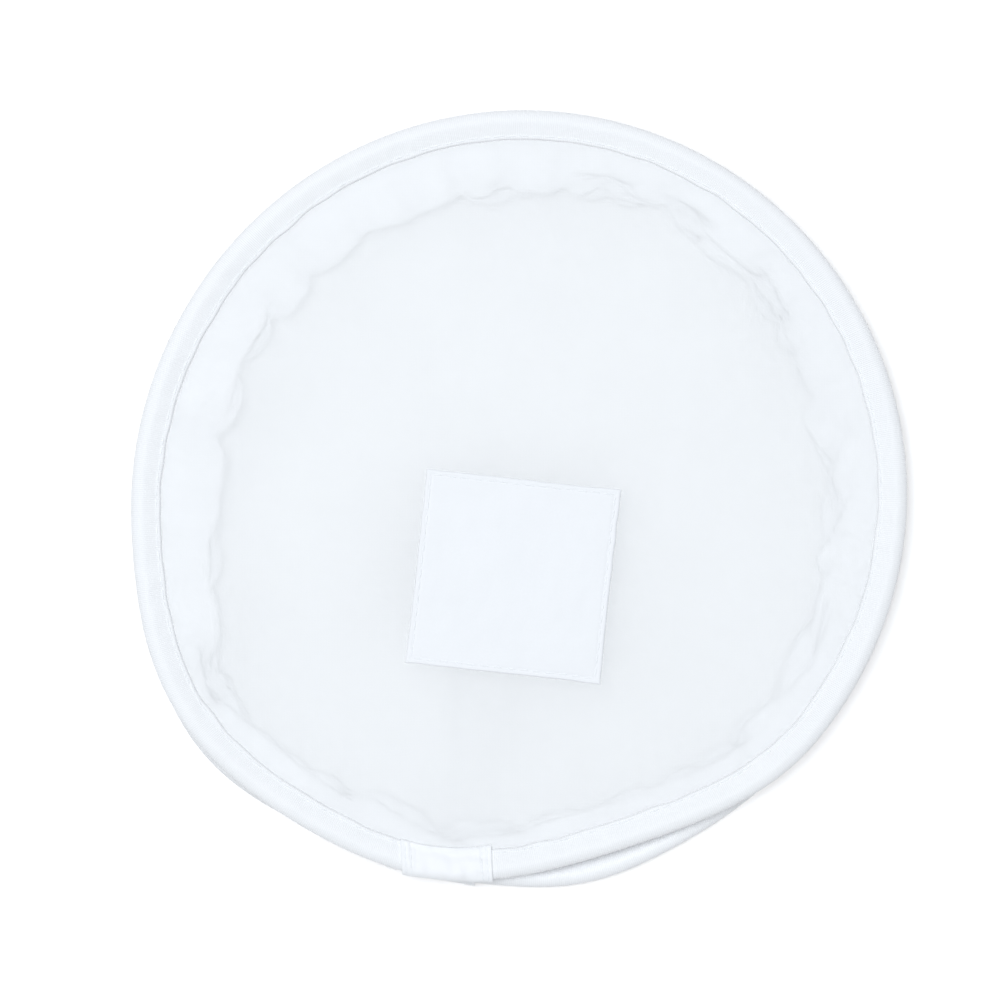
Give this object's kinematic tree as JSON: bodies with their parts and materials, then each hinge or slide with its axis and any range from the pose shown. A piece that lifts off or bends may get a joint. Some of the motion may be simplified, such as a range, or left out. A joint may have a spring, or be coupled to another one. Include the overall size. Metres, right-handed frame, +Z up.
{
  "type": "pop-up diffusion panel",
  "caption": "Round collapsible diffusion panel: sheer white sheets on sprung hoops, joined by a gathered cloth wall, lying collapsed.",
  "frame": {"origin": "bottom centre of the whole object's box, where the rear sheet rests on the ground", "axes": "+Z up, out of the front sheet; +Y from the join sleeves across the panel; +X to the right when the front sheet is seen from above with the join sleeves nearest"},
  "size_m": [0.2502, 0.2508, 0.0137],
  "materials": {
    "spring_steel": "satin",
    "ferrule_metal": "satin",
    "ribbed_tape": "matte",
    "sleeve_cloth": "matte",
    "sheer_cloth": "matte",
    "patch_cloth": "matte",
    "wall_cloth": "matte",
    "thread": "matte"
  },
  "bodies": {
    "rear": {"rear_hoop_strip": "spring_steel", "rear_ferrule": "ferrule_metal", "rear_binding": "ribbed_tape", "rear_join_sleeve": "sleeve_cloth", "rear_sheet": "sheer_cloth", "rear_rim_stitching": "thread", "rear_rim_bobbin_thread": "thread", "rear_sleeve_stitching": "thread", "side_wall": "wall_cloth", "wall_seam_stitching": "thread"},
    "front": {"front_hoop_strip": "spring_steel", "front_ferrule": "ferrule_metal", "front_binding": "ribbed_tape", "front_join_sleeve": "sleeve_cloth", "front_sheet": "sheer_cloth", "front_rim_stitching": "thread", "front_rim_bobbin_thread": "thread", "front_sleeve_stitching": "thread", "front_patch": "patch_cloth", "patch_stitching": "thread", "patch_bobbin_thread": "thread"}
  },
  "joints": [
    {"name": "front_lift", "type": "slide", "parent": "rear", "child": "front", "axis": [0, 0, 1], "range_m": [0, 0.034], "deforming": ["side_wall", "wall_seam_stitching"]}
  ]
}
